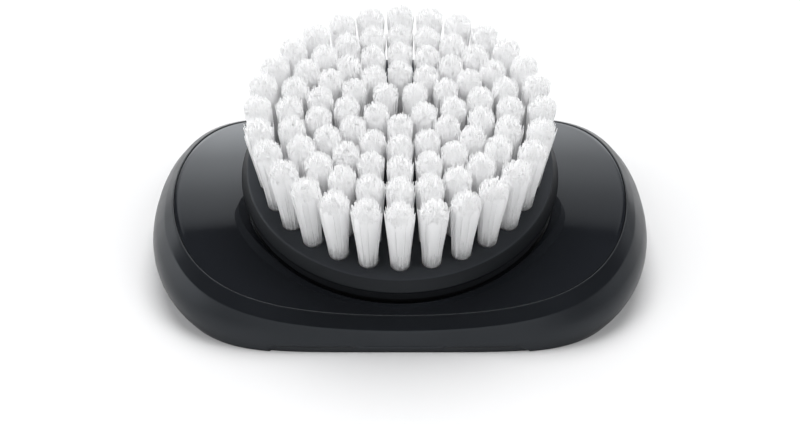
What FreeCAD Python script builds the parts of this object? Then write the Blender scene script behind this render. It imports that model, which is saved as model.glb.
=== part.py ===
import FreeCAD, Part
import Sketcher
import math
import os
import re

# Click-on facial cleansing brush for an electric shaver handle.
# Frame: millimetres, +Z up, +X along the width, origin in the middle of the footprint.
# The round brush turns to and fro about an axis that leans towards -Y by "tilt".
# Heights named "..._w" are measured along that axis from the top of the tuft plate,
# and are positive going down into the housing.

DIMENSIONS = {
    # outer form: outlines at the foot, half way up the wall, at the shoulder and at the cover's seam
    "foot_half_width": 25.65,
    "foot_half_depth": 21.4,
    "foot_power": 5.2,
    "foot_end_power": 2.1,
    "foot_height": 0.0,
    "foot_rise": 0.0,
    "belly_half_width": 27.5,
    "belly_half_depth": 21.05,
    "belly_power": 4.9,
    "belly_end_power": 2.14,
    "belly_height": 1.15,
    "belly_rise": 2.1,
    "shoulder_half_width": 25.95,
    "shoulder_half_depth": 20.55,
    "shoulder_power": 4.55,
    "shoulder_end_power": 2.19,
    "shoulder_height": 2.3,
    "shoulder_rise": 4.15,
    "seam_half_width": 25.15,
    "seam_half_depth": 19.1,
    "seam_power": 4.75,
    "seam_end_power": 2.0,
    "seam_height": 3.0,
    "seam_rise": 4.25,
    "seam_land": 0.12,
    "seam_gap": 0.08,
    "wall": 1.2,
    "cover_thickness": 0.9,
    "ledge_thickness": 0.8,
    "opening_radius": 17.05,
    "ledge_hole_radius": 15.75,
    "notch_half_width": 13.2,
    "notch_height": 0.75,
    "notch_depth": 0.2,
    # tilted brush axis
    "disc_height": 9.73,
    "tilt": 14.4,
    # tuft plate and brush carrier
    "crease_radius": 16.9,
    "rim_radius": 17.63,
    "band_low_w": 1.23,
    "lip_low_w": 1.45,
    "plug_radius": 16.3,
    "plug_low_w": 1.8,
    "carrier_radius": 17.45,
    "carrier_top_w": 1.47,
    "carrier_pocket_radius": 16.35,
    "carrier_floor_w": 1.85,
    "carrier_rim_low_w": 2.53,
    "carrier_low_w": 2.65,
    "carrier_flat_radius": 16.6,
    "carrier_boss_radius": 4.4,
    "carrier_boss_low_w": 3.7,
    # tufts
    "tuft_hole_radius": 1.03,
    "tuft_hole_depth": 1.5,
    "tuft_root_radius": 1.0,
    "tuft_root_w": 1.15,
    "tuft_tip_radius": 1.45,
    "tuft_shoulder": 8.1,
    "tuft_length": 9.2,
    "anchor_length": 1.7,
    "anchor_width": 0.25,
    "anchor_height": 0.3,
    "ring_one_radius": 2.65,
    "ring_two_radius": 5.7,
    "ring_three_radius": 8.7,
    "ring_four_radius": 11.65,
    "ring_five_radius": 14.65,
    "ring_one_count": 5,
    "ring_two_count": 12,
    "ring_three_count": 18,
    "ring_four_count": 24,
    "ring_five_count": 28,
    # drive on the tilted axis
    "running_gap": 0.03,
    "spindle_radius": 1.5,
    "spindle_nose_radius": 1.2,
    "spindle_top_w": 1.95,
    "spindle_low_w": 6.95,
    "hub_corner_radius": 2.887,
    "hub_low_w": 3.3,
    "hub_groove_radius": 2.13,
    "hub_groove_top_w": 2.47,
    "hub_groove_low_w": 2.93,
    "snap_ring_radius": 2.34,
    "snap_ring_wire": 0.19,
    "socket_corner_radius": 2.96,
    "seal_radius": 2.4,
    "seal_top_w": 3.4,
    "seal_low_w": 3.78,
    "bush_flange_radius": 2.8,
    "bush_flange_w": 3.8,
    "bush_radius": 2.29,
    "washer_radius": 2.6,
    "washer_top_w": 5.03,
    "washer_low_w": 5.22,
    "lever_top_w": 5.25,
    "lever_low_w": 5.95,
    "lever_hub_radius": 2.7,
    "lever_half_width": 1.7,
    "lever_reach": 8.1,
    "fork_root": 5.9,
    "fork_half_width": 0.85,
    "circlip_radius": 2.3,
    "circlip_inner_radius": 1.17,
    "circlip_half_gap": 0.7,
    "circlip_top_w": 5.98,
    "circlip_low_w": 6.2,
    "groove_radius": 1.15,
    "lower_bush_radius": 2.27,
    "lower_bush_top_w": 6.35,
    "lower_bush_low_w": 7.05,
    # turret
    "turret_radius": 15.6,
    "turret_inner_radius": 14.5,
    "turret_low": 1.4,
    "turret_stock_top": 12.5,
    "deck_top_w": 3.0,
    "deck_low_w": 4.0,
    "deck_middle_w": 3.5,
    "deck_radius": 15.2,
    "well_radius": 5.0,
    "well_wall_radius": 6.0,
    "well_low_w": 5.0,
    "bush_seat_radius": 2.32,
    "ear_end": 18.9,
    "ear_root": 15.0,
    "ear_low": 1.9,
    "ear_top": 2.85,
    "ear_half_width": 1.6,
    "turret_screw_reach": 17.3,
    "turret_screw_spread": 4.0,
    "turret_screw_end": 3.95,
    "small_screw_radius": 0.5,
    "small_head_radius": 0.95,
    "small_head_height": 0.6,
    "small_boss_radius": 1.3,
    # chassis and coupling recess
    "chassis_low": 0.3,
    "chassis_top": 1.1,
    "chassis_half_width": 24.1,
    "chassis_half_depth": 19.7,
    "chassis_corner": 18.0,
    "recess_half_width": 11.0,
    "recess_half_depth": 7.0,
    "recess_wall": 0.8,
    "recess_roof": 1.8,
    "recess_top": 2.6,
    "pocket_half_width": 5.5,
    "pocket_front": 6.0,
    "pocket_shoulder": 11.4,
    "pocket_rear": 13.0,
    "pocket_rear_half_width": 3.0,
    "pocket_wall": 0.7,
    "pocket_roof": 4.1,
    "pocket_top": 4.7,
    "pin_reach": 11.4,
    "pin_slot_half_width": 2.4,
    "pin_slot_half_depth": 1.2,
    "bush_block_reach": 1.6,
    "bush_block_radius": 3.1,
    "bush_block_stock_top": 4.4,
    "trim_radius": 3.4,
    "latch_inner": 12.6,
    "latch_outer": 14.0,
    "latch_half_length": 2.5,
    "chassis_screw_reach": 20.5,
    "chassis_screw_spread": 9.5,
    "chassis_boss_radius": 1.7,
    "chassis_head_radius": 1.4,
    "chassis_head_height": 0.38,
    "chassis_screw_radius": 0.6,
    "chassis_screw_end": 3.8,
    "screw_clearance": 0.02,
    "rib_front": 6.75,
    "rib_rear": 13.35,
    "rib_half_width": 4.5,
    "rib_rear_half_width": 3.2,
    "rib_top": 5.1,
    # slider, post and keepers
    "post_reach": 7.0,
    "post_radius": 0.8,
    "post_top_w": 5.1,
    "post_low_w": 6.6,
    "slider_low": 4.85,
    "slider_top": 5.35,
    "slider_half_width": 4.2,
    "slider_front": 7.5,
    "slider_rear": 13.25,
    "slider_boss_radius": 1.85,
    "slider_boss_top": 6.6,
    "insert_radius": 1.5,
    "insert_bore_radius": 1.1,
    "insert_top": 6.15,
    "pillar_inner": 5.4,
    "pillar_outer": 9.0,
    "pillar_front": 7.4,
    "pillar_rear": 11.0,
    "pillar_top": 5.43,
    "keeper_inner": 3.0,
    "keeper_low": 5.45,
    "keeper_top": 5.95,
    "keeper_screw_reach": 7.3,
    "keeper_screw_front": 8.3,
    "keeper_screw_rear": 10.1,
    "keeper_screw_low": 3.6,
}

RINGS = ("one", "two", "three", "four", "five")
SIDES = (-1, 1)
QUARTER_POINTS = 12
OUTLINE_PARTS = ("half_width", "half_depth", "power", "end_power", "height", "rise")
CROWN_STEP = 0.5
WORD = re.compile(r"[a-z][a-z_]*")

doc = FreeCAD.newDocument("cleansing_brush")
sheet = doc.addObject("Spreadsheet::Sheet", "Dims")
nodes = []


def fill_sheet():
    """Writes each driving dimension to its own cell, with its alias."""
    for row, (name, size) in enumerate(DIMENSIONS.items(), start=1):
        sheet.set(f"A{row}", str(size))
        sheet.setAlias(f"A{row}", name)
    doc.recompute()


def size(name):
    """One driving dimension as the sheet holds it."""
    return float(sheet.get(name))


def bound(text):
    """Turns 'wall + seam_gap' into an expression on the sheet's cells."""
    return WORD.sub(lambda word: "Dims." + word.group(0) if word.group(0) in DIMENSIONS else word.group(0), text)


def tilted_placement():
    """The frame of the brush axis, seated on top of the tuft plate."""
    lean = FreeCAD.Rotation(FreeCAD.Vector(1, 0, 0), size("tilt"))
    return FreeCAD.Placement(FreeCAD.Vector(0, 0, size("disc_height")), lean)


def follow_tilt(item):
    """Keeps an object's placement on the brush axis."""
    item.Placement = tilted_placement()
    item.setExpression("Placement.Base.z", bound("disc_height"))
    item.setExpression("Placement.Rotation.Angle", bound("tilt"))


def new_body(label, tilted=False):
    body = doc.addObject("PartDesign::Body", label)
    body.Label = label
    if tilted:
        follow_tilt(body)
    nodes.append(body)
    return body


def sketch_at(body, level, tilted=False):
    """A sketch on the body's XY plane, lifted to a level, or on a plane square to the brush axis."""
    sketch = body.newObject("Sketcher::SketchObject", "sketch")
    attach(body, sketch, "XY_Plane")
    if tilted:
        sketch.AttachmentOffset = tilted_placement()
        sketch.setExpression("AttachmentOffset.Rotation.Angle", bound("tilt"))
        sketch.setExpression("AttachmentOffset.Base.y", bound(f"-({level}) * sin(tilt * 1 deg)"))
        sketch.setExpression("AttachmentOffset.Base.z", bound(f"disc_height + ({level}) * cos(tilt * 1 deg)"))
    else:
        sketch.setExpression("AttachmentOffset.Base.z", bound(level))
    return sketch


def attach(body, sketch, role):
    plane = next(item for item in body.Origin.OriginFeatures if item.Role == role)
    sketch.AttachmentSupport = [(plane, "")]
    sketch.MapMode = "FlatFace"


def pin_point(sketch, shape, corner, across, up):
    """Ties a point of the sketch to two expressions, measured from the sketch's origin."""
    for kind, axis, text in (("DistanceX", -2, across), ("DistanceY", -1, up)):
        if text == "0":
            sketch.addConstraint(Sketcher.Constraint("PointOnObject", shape, corner, axis))
        else:
            number = sketch.addConstraint(Sketcher.Constraint(kind, -1, 1, shape, corner, 1.0))
            sketch.setExpression(f"Constraints[{number}]", bound(text))


def draw_polygon(sketch, corners):
    """A closed outline; the starting shape is any polygon, the constraints then place it."""
    count = len(corners)
    turns = [2 * math.pi * step / count for step in range(count)]
    start = [FreeCAD.Vector(9 + math.cos(turn), math.sin(turn), 0) for turn in turns]
    for step in range(count):
        sketch.addGeometry(Part.LineSegment(start[step], start[(step + 1) % count]), False)
    for step in range(count):
        sketch.addConstraint(Sketcher.Constraint("Coincident", step, 2, (step + 1) % count, 1))
    for step, (across, up) in enumerate(corners):
        pin_point(sketch, step, 1, across, up)


def draw_circle(sketch, across, up, radius):
    shape = sketch.addGeometry(Part.Circle(FreeCAD.Vector(0, 0, 0), FreeCAD.Vector(0, 0, 1), 1), False)
    pin_point(sketch, shape, 3, across, up)
    number = sketch.addConstraint(Sketcher.Constraint("Radius", shape, 1.0))
    sketch.setExpression(f"Constraints[{number}]", bound(radius))


def draw(sketch, outline):
    """An outline is a circle, as (across, up, radius), or a list of corners."""
    if isinstance(outline, tuple):
        draw_circle(sketch, *outline)
    else:
        draw_polygon(sketch, outline)


def rectangle(left, right, front, rear):
    return [(left, front), (right, front), (right, rear), (left, rear)]


def hexagon(radius):
    """Six corners, with two flats square to the second axis."""
    return [
        (f"{radius} * cos({60 * step} deg)", "0" if step % 3 == 0 else f"{radius} * sin({60 * step} deg)")
        for step in range(6)
    ]


def add(body, outline, low, high, tilted=False):
    """Pads an outline from one level up to another."""
    sketch = sketch_at(body, low, tilted)
    draw(sketch, outline)
    pad = body.newObject("PartDesign::Pad", "pad")
    pad.Profile = sketch
    pad.setExpression("Length", bound(f"({high}) - ({low})"))
    doc.recompute()
    return pad


def cut(body, outline, low, high, tilted=False):
    """Pockets an outline from one level down to another, and makes sure that it cuts."""
    before = body.Shape.Volume
    sketch = sketch_at(body, high, tilted)
    draw(sketch, outline)
    pocket = body.newObject("PartDesign::Pocket", "pocket")
    pocket.Profile = sketch
    pocket.setExpression("Length", bound(f"({high}) - ({low})"))
    doc.recompute()
    if body.Shape.Volume >= before:
        raise RuntimeError(f"{body.Label}: a pocket cuts nothing")
    return pocket


def repeat(body, feature, count):
    """Repeats a feature in a circle about its sketch's own origin."""
    pattern = body.newObject("PartDesign::PolarPattern", "pattern")
    pattern.Originals = [feature]
    pattern.Axis = (feature.Profile[0], ["N_Axis"])
    pattern.Angle = 360
    pattern.setExpression("Occurrences", bound(count))
    body.Tip = pattern
    doc.recompute()
    return pattern


def turn(body, corners):
    """Revolves a profile of (radius, height) corners about the body's own axis."""
    sketch = body.newObject("Sketcher::SketchObject", "profile")
    attach(body, sketch, "XZ_Plane")
    draw_polygon(sketch, corners)
    revolution = body.newObject("PartDesign::Revolution", "revolution")
    revolution.Profile = sketch
    revolution.ReferenceAxis = (sketch, ["V_Axis"])
    revolution.Angle = 360
    doc.recompute()
    return revolution


def turned_ring(label, inner, outer, top, low, tilted=True):
    """A plain ring, such as a washer, a bush or a seal."""
    body = new_body(label, tilted)
    turn(body, [(inner, low), (outer, low), (outer, top), (inner, top)])
    return body


# ---- outer form ------------------------------------------------------------------------------


def outline(name):
    """The numbers of a named outline: half width, half depth, two powers, height and rise."""
    return [size(f"{name}_{part}") for part in OUTLINE_PARTS]


def quarter_curves(half_width, half_depth, power, end_power, height, rise):
    """An outline in four smooth quarters: flat along X, rounded at the ends, which rise along a parabola."""
    curves = []
    for quarter in range(4):
        points = []
        for step in range(QUARTER_POINTS + 1):
            turn_angle = math.pi / 2 * (quarter + step / QUARTER_POINTS)
            across = math.cos(turn_angle)
            along = math.copysign((1 - abs(across) ** power) ** (1 / end_power), math.sin(turn_angle))
            points.append(FreeCAD.Vector(half_width * across, half_depth * along, height + rise * across**2))
        curve = Part.BSplineCurve()
        curve.interpolate(
            Points=points,
            Parameters=[step / QUARTER_POINTS for step in range(QUARTER_POINTS + 1)],
            InitialTangent=along_outline(quarter),
            FinalTangent=along_outline(quarter + 1),
        )
        curves.append(curve)
    return curves


def along_outline(quarter):
    """The direction of an outline where it crosses an axis."""
    turn_angle = math.pi / 2 * quarter
    return FreeCAD.Vector(-math.sin(turn_angle), math.cos(turn_angle), 0)


def flat_face(curves):
    return Part.Face(Part.Wire([curve.toShape() for curve in curves]))


def seam_prism(grow):
    """Everything inside the seam's outline, enlarged by an amount."""
    half_width, half_depth, power, end_power, _, _ = outline("seam")
    wall = size("wall")
    face = flat_face(quarter_curves(half_width + grow, half_depth + grow, power, end_power, -wall, 0))
    return face.extrude(FreeCAD.Vector(0, 0, size("disc_height") + wall))


def below_saddle(drop):
    """Everything under the hollow top surface, lowered by a drop: a parabola carried along Y."""
    reach = size("belly_half_width") + size("wall")
    floor = -size("wall")
    middle = size("seam_height") - drop
    end = middle + size("seam_rise") * (reach / size("seam_half_width")) ** 2
    parabola = Part.BezierCurve()
    parabola.setPoles([
        FreeCAD.Vector(-reach, -reach, end),
        FreeCAD.Vector(0, -reach, 2 * middle - end),
        FreeCAD.Vector(reach, -reach, end),
    ])
    corners = [FreeCAD.Vector(x, -reach, z) for x, z in ((reach, end), (reach, floor), (-reach, floor), (-reach, end))]
    edges = [parabola.toShape()] + [Part.makeLine(a, b) for a, b in zip(corners, corners[1:])]
    face = Part.Face(Part.Wire(edges))
    return face.extrude(FreeCAD.Vector(0, 2 * reach, 0))


def upright(radius, low, high, x=0.0, y=0.0):
    return Part.makeCylinder(radius, high - low, FreeCAD.Vector(x, y, low))


def belly_face(low, middle, high):
    """One quarter of a wall that runs in a parabola from a low curve past a middle one to a high one."""
    pulled = [
        2 * middle_pole - (low_pole + high_pole) / 2
        for low_pole, middle_pole, high_pole in zip(low.getPoles(), middle.getPoles(), high.getPoles())
    ]
    rows = list(zip(low.getPoles(), pulled, high.getPoles()))
    surface = Part.BSplineSurface()
    surface.buildFromPolesMultsKnots(
        rows, low.getMultiplicities(), (3, 3), low.getKnots(), (0, 1), False, False, low.Degree, 2
    )
    return surface.toShape()


def skirt_form(inset):
    """The skirt's form as a solid: bulging wall, shoulder band carried on past the seam, and a straight top."""
    levels = []
    for name in ("foot", "belly", "shoulder", "seam"):
        half_width, half_depth, *rest = outline(name)
        levels.append([half_width - inset, half_depth - inset, *rest])
    shoulder, seam = levels[2:]
    crown = [end + CROWN_STEP * (end - start) for start, end in zip(shoulder, seam)]
    crown[2:4] = seam[2:4]
    lid = [*crown[:4], 2 * size("disc_height"), 0]
    foot, belly, shoulder, crown, lid = [quarter_curves(*level) for level in (*levels[:3], crown, lid)]
    faces = [belly_face(*quarter) for quarter in zip(foot, belly, shoulder)]
    for low, high in ((shoulder, crown), (crown, lid)):
        faces += [Part.makeRuledSurface(a.toShape(), b.toShape()) for a, b in zip(low, high)]
    faces += [flat_face(foot), flat_face(lid)]
    shell = Part.makeShell(faces)
    shell.sewShape()
    solid = Part.Solid(shell)
    if solid.Volume < 0:
        solid.reverse()
    return solid


def corner_places(reach, spread):
    return [(x * size(reach), y * size(spread)) for x in SIDES for y in SIDES]


def make_housing_shell():
    """The moulded skirt with its shoulder band, the ledge that carries the cover, and screw bosses."""
    top = 2 * size("disc_height")
    seat = seam_prism(-size("seam_land")).cut(below_saddle(size("cover_thickness")))
    ledge_underside = below_saddle(size("cover_thickness") + size("ledge_thickness"))
    hollow = skirt_form(size("wall")).common(ledge_underside)
    shell = skirt_form(0).common(below_saddle(0)).cut(hollow).cut(seat)
    under_ledge = below_saddle(size("cover_thickness") + size("ledge_thickness") / 2)
    gap = size("screw_clearance")
    for x, y in corner_places("chassis_screw_reach", "chassis_screw_spread"):
        boss = upright(size("chassis_boss_radius"), size("chassis_top") + gap, top, x, y).common(under_ledge)
        shell = shell.fuse(boss).cut(upright(size("chassis_screw_radius") + gap, 0, size("chassis_screw_end"), x, y))
    for x, y in corner_places("turret_screw_reach", "turret_screw_spread"):
        boss = upright(size("small_boss_radius"), size("ear_top") + gap, top, x, y).common(under_ledge)
        shell = shell.fuse(boss).cut(upright(size("small_screw_radius") + gap, 0, size("turret_screw_end"), x, y))
    shell = shell.cut(upright(size("ledge_hole_radius"), -size("wall"), top))
    return shell.cut(front_notch()).removeSplitter()


def front_notch():
    """The shallow inset under the front of the skirt, rounded at one end and slanted at the other."""
    half = size("notch_half_width")
    height = size("notch_height")
    low = FreeCAD.Vector(0, 0, -height)
    left = FreeCAD.Vector(-half, 0, 0)
    left_top = FreeCAD.Vector(-half + height, 0, height)
    left_middle = FreeCAD.Vector(-half + height * (1 - math.sqrt(0.5)), 0, height * math.sqrt(0.5))
    right_top = FreeCAD.Vector(half - 2 * height, 0, height)
    right = FreeCAD.Vector(half, 0, 0)
    edges = [
        Part.makeLine(left + low, left),
        Part.Arc(left, left_middle, left_top).toShape(),
        Part.makeLine(left_top, right_top),
        Part.makeLine(right_top, right),
        Part.makeLine(right, right + low),
        Part.makeLine(right + low, left + low),
    ]
    slab = Part.Face(Part.Wire(edges)).extrude(FreeCAD.Vector(0, -2 * size("foot_half_depth"), 0))
    half_width, half_depth, power, end_power, _, _ = outline("foot")
    depth = size("notch_depth")
    core = flat_face(quarter_curves(half_width - depth, half_depth - depth, power, end_power, -2 * height, 0))
    return slab.cut(core.extrude(FreeCAD.Vector(0, 0, 4 * height)))


def make_top_cover():
    """The glossy hollow cover with its round opening."""
    prism = seam_prism(-size("seam_land") - size("seam_gap"))
    cover = prism.common(below_saddle(0)).cut(below_saddle(size("cover_thickness")))
    return cover.cut(upright(size("opening_radius"), -size("wall"), 2 * size("disc_height")))


# ---- brush head ------------------------------------------------------------------------------


def ring_places(ring):
    """Points of one ring of tufts on the tuft plate; each ring starts at the front."""
    radius = size(f"ring_{ring}_radius")
    count = int(size(f"ring_{ring}_count"))
    turns = [2 * math.pi * step / count for step in range(count)]
    return [(radius * math.sin(turn_angle), -radius * math.cos(turn_angle), turn_angle) for turn_angle in turns]


def tuft_solid():
    """One tuft: straight in its hole, flaring above the plate, with a domed tip."""
    root = -size("tuft_root_w")
    root_radius = size("tuft_root_radius")
    tip_radius = size("tuft_tip_radius")
    shoulder = size("tuft_shoulder")
    tip = size("tuft_length")
    height = tip - shoulder
    dome_radius = (tip_radius**2 + height**2) / (2 * height)
    half_angle = math.asin(min(1, tip_radius / dome_radius)) / 2
    foot = FreeCAD.Vector(0, 0, root)
    foot_edge = FreeCAD.Vector(root_radius, 0, root)
    waist = FreeCAD.Vector(root_radius, 0, 0)
    neck = FreeCAD.Vector(tip_radius, 0, shoulder)
    crown = FreeCAD.Vector(dome_radius * math.sin(half_angle), 0, tip - dome_radius * (1 - math.cos(half_angle)))
    top = FreeCAD.Vector(0, 0, tip)
    edges = [
        Part.makeLine(foot, foot_edge),
        Part.makeLine(foot_edge, waist),
        Part.makeLine(waist, neck),
        Part.Arc(neck, crown, top).toShape(),
        Part.makeLine(top, foot),
    ]
    profile = Part.Face(Part.Wire(edges))
    return profile.revolve(FreeCAD.Vector(0, 0, 0), FreeCAD.Vector(0, 0, 1), 360)


def make_tuft_ring(ring):
    tuft = tuft_solid()
    return Part.makeCompound([tuft.translated(FreeCAD.Vector(x, y, 0)) for x, y, _ in ring_places(ring)])


def make_tuft_anchors():
    """A flat wire staple at the bottom of each hole, which holds the folded filaments."""
    length = size("anchor_length")
    width = size("anchor_width")
    height = size("anchor_height")
    staple = Part.makeBox(length, width, height, FreeCAD.Vector(-length / 2, -width / 2, 0))
    staples = []
    for ring in RINGS:
        for x, y, turn_angle in ring_places(ring):
            turned = staple.copy()
            turned.rotate(FreeCAD.Vector(0, 0, 0), FreeCAD.Vector(0, 0, 1), math.degrees(turn_angle))
            staples.append(turned.translated(FreeCAD.Vector(x, y, -size("tuft_hole_depth"))))
    return Part.makeCompound(staples)


def make_tuft_plate():
    """The round plate with its bevelled rim and a hole for each tuft."""
    body = new_body("tuft_plate", tilted=True)
    turn(body, [
        ("0", "0"), ("crease_radius", "0"), ("rim_radius", "-band_low_w"), ("rim_radius", "-lip_low_w"),
        ("plug_radius", "-lip_low_w"), ("plug_radius", "-plug_low_w"), ("0", "-plug_low_w"),
    ])
    for ring in RINGS:
        hole = cut(body, ("0", f"-ring_{ring}_radius", "tuft_hole_radius"), "-tuft_hole_depth", "0")
        repeat(body, hole, f"ring_{ring}_count")


def make_brush_carrier():
    """The dish under the tuft plate, with the six-sided socket that takes the drive hub."""
    body = new_body("brush_carrier", tilted=True)
    turn(body, [
        ("0", "-carrier_floor_w"), ("carrier_pocket_radius", "-carrier_floor_w"),
        ("carrier_pocket_radius", "-carrier_top_w"), ("carrier_radius", "-carrier_top_w"),
        ("carrier_radius", "-carrier_rim_low_w"), ("carrier_flat_radius", "-carrier_low_w"),
        ("carrier_boss_radius", "-carrier_low_w"), ("carrier_boss_radius", "-carrier_boss_low_w"),
        ("0", "-carrier_boss_low_w"),
    ])
    cut(body, hexagon("socket_corner_radius"), "-carrier_boss_low_w", "-carrier_floor_w")


# ---- drive -----------------------------------------------------------------------------------


def make_drive_spindle():
    body = new_body("drive_spindle", tilted=True)
    turn(body, [
        ("0", "-spindle_top_w"), ("spindle_nose_radius", "-spindle_top_w"),
        ("spindle_nose_radius", "-hub_low_w"), ("spindle_radius", "-hub_low_w"),
        ("spindle_radius", "-circlip_top_w"), ("groove_radius", "-circlip_top_w"),
        ("groove_radius", "-circlip_low_w"), ("spindle_radius", "-circlip_low_w"),
        ("spindle_radius", "-spindle_low_w"), ("0", "-spindle_low_w"),
    ])


def make_drive_hub():
    """The six-sided nose that the brush head pushes on to, with a groove for the snap ring."""
    body = new_body("drive_hub", tilted=True)
    add(body, hexagon("hub_corner_radius"), "-hub_low_w", "-spindle_top_w")
    cut(body, ("0", "0", "spindle_nose_radius + screw_clearance"), "-hub_low_w", "-spindle_top_w")
    before = body.Shape.Volume
    sketch = body.newObject("Sketcher::SketchObject", "groove_profile")
    attach(body, sketch, "XZ_Plane")
    draw_polygon(sketch, rectangle("hub_groove_radius", "spindle_radius + hub_groove_radius",
                                   "-hub_groove_low_w", "-hub_groove_top_w"))
    groove = body.newObject("PartDesign::Groove", "groove")
    groove.Profile = sketch
    groove.ReferenceAxis = (sketch, ["V_Axis"])
    groove.Angle = 360
    doc.recompute()
    if body.Shape.Volume >= before:
        raise RuntimeError("drive_hub: the groove cuts nothing")


def make_head_snap_ring():
    ring = doc.addObject("Part::Torus", "head_snap_ring")
    ring.Label = "head_snap_ring"
    ring.setExpression("Radius1", bound("snap_ring_radius"))
    ring.setExpression("Radius2", bound("snap_ring_wire"))
    middle = "(hub_groove_top_w + hub_groove_low_w) / 2"
    ring.Placement = tilted_placement()
    ring.setExpression("Placement.Rotation.Angle", bound("tilt"))
    ring.setExpression("Placement.Base.y", bound(f"{middle} * sin(tilt * 1 deg)"))
    ring.setExpression("Placement.Base.z", bound(f"disc_height - {middle} * cos(tilt * 1 deg)"))
    nodes.append(ring)


def make_drive_lever():
    """The forked arm on the spindle, which the slider's post swings."""
    body = new_body("drive_lever", tilted=True)
    low, top = "-lever_low_w", "-lever_top_w"
    add(body, ("0", "0", "lever_hub_radius"), low, top)
    add(body, rectangle("-lever_half_width", "lever_half_width", "0", "lever_reach"), low, top)
    cut(body, ("0", "0", "spindle_radius + screw_clearance"), low, top)
    cut(body, rectangle("-fork_half_width", "fork_half_width", "fork_root", "lever_reach + wall"), low, top)


def make_spindle_circlip():
    body = new_body("spindle_circlip", tilted=True)
    low, top = "-circlip_low_w", "-circlip_top_w"
    add(body, ("0", "0", "circlip_radius"), low, top)
    cut(body, ("0", "0", "circlip_inner_radius"), low, top)
    cut(body, rectangle("-circlip_half_gap", "circlip_half_gap", "-circlip_radius - wall", "0"), low, top)


def make_bearings():
    """Bushes, washer and seal around the spindle."""
    bore = "spindle_radius + running_gap"
    upper = new_body("upper_bush", tilted=True)
    turn(upper, [
        (bore, "-bush_flange_w"), ("bush_flange_radius", "-bush_flange_w"), ("bush_flange_radius", "-deck_low_w"),
        ("bush_radius", "-deck_low_w"), ("bush_radius", "-well_low_w"), (bore, "-well_low_w"),
    ])
    turned_ring("lower_bush", bore, "lower_bush_radius", "-lower_bush_top_w", "-lower_bush_low_w")
    turned_ring("shaft_seal", bore, "seal_radius", "-seal_top_w", "-seal_low_w")
    turned_ring("thrust_washer", "spindle_radius + screw_clearance", "washer_radius", "-washer_top_w", "-washer_low_w")


# ---- housing insides -------------------------------------------------------------------------


def make_turret():
    """The upright drum with a leaning deck, which carries the upper bush."""
    body = new_body("turret")
    add(body, ("0", "0", "turret_radius"), "turret_low", "turret_stock_top")
    cut(body, ("0", "0", "turret_inner_radius"), "turret_low", "turret_stock_top")
    centre = "-deck_middle_w * tan(tilt * 1 deg)"
    add(body, ("0", centre, "deck_radius"), "-deck_low_w", "-deck_top_w", tilted=True)
    add(body, ("0", "0", "well_wall_radius"), "-well_low_w", "-deck_top_w", tilted=True)
    cut(body, ("0", "0", "2 * turret_radius"), "-deck_top_w", "turret_radius", tilted=True)
    cut(body, ("0", "0", "well_radius"), "-deck_low_w", "-deck_top_w", tilted=True)
    cut(body, ("0", "0", "bush_seat_radius"), "-well_low_w", "-deck_low_w", tilted=True)
    for side in SIDES:
        for end in SIDES:
            front = f"{end} * turret_screw_spread - ear_half_width"
            rear = f"{end} * turret_screw_spread + ear_half_width"
            ear = rectangle(f"{side} * ear_root", f"{side} * ear_end", front, rear)
            add(body, ear, "ear_low", "ear_top")
            hole = (f"{side} * turret_screw_reach", f"{end} * turret_screw_spread", "small_screw_radius + screw_clearance")
            cut(body, hole, "ear_low", "ear_top")


def round_upright_edges(body, radius):
    """Rounds the upright edges of the body's last feature."""
    solid = body.Tip
    names = []
    for number, edge in enumerate(solid.Shape.Edges, start=1):
        along = edge.tangentAt(edge.FirstParameter)
        if abs(along.z) > 1 - 1e-6:
            names.append(f"Edge{number}")
    fillet = body.newObject("PartDesign::Fillet", "fillet")
    fillet.Base = (solid, names)
    fillet.setExpression("Radius", bound(radius))
    doc.recompute()


def pocket_outline(grow):
    """The deep part of the coupling recess, with its rear corners cut off inside the drum."""
    side = f"pocket_half_width + {grow}"
    rear_side = f"pocket_rear_half_width + {grow} * 0.6"
    shoulder = f"pocket_shoulder + {grow} * 0.6"
    return [
        (f"-({side})", f"pocket_front - {grow}"), (side, f"pocket_front - {grow}"), (side, shoulder),
        (rear_side, f"pocket_rear + {grow}"), (f"-({rear_side})", f"pocket_rear + {grow}"), (f"-({side})", shoulder),
    ]


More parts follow.
